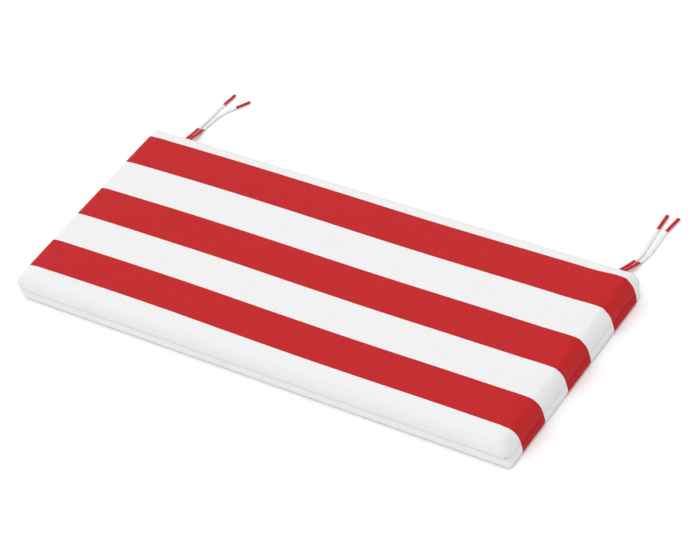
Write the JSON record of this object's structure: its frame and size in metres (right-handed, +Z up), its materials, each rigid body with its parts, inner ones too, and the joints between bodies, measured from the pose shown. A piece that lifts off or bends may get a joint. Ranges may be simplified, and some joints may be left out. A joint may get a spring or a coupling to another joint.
{
  "type": "bench cushion",
  "caption": "Long flat bench cushion in striped canvas: one filled pad with a seam round its sides, and two pairs of tie tapes at the rear corners.",
  "frame": {"origin": "middle of the cushion's underside, on the surface that it lies on, with the tapes left out", "axes": "+X along the bench, +Y towards the bench's back rail, where the tapes tie, +Z up"},
  "size_m": [1.1134, 0.6326, 0.0508],
  "materials": {
    "canvas": "dull woven canvas with straight red and white stripes",
    "tape": "dull folded canvas tape, red at its root and tip and white between"
  },
  "bodies": {
    "root": {"cushion": "canvas", "tie_left_a": "tape", "tie_left_b": "tape", "tie_right_a": "tape", "tie_right_b": "tape"}
  },
  "joints": []
}
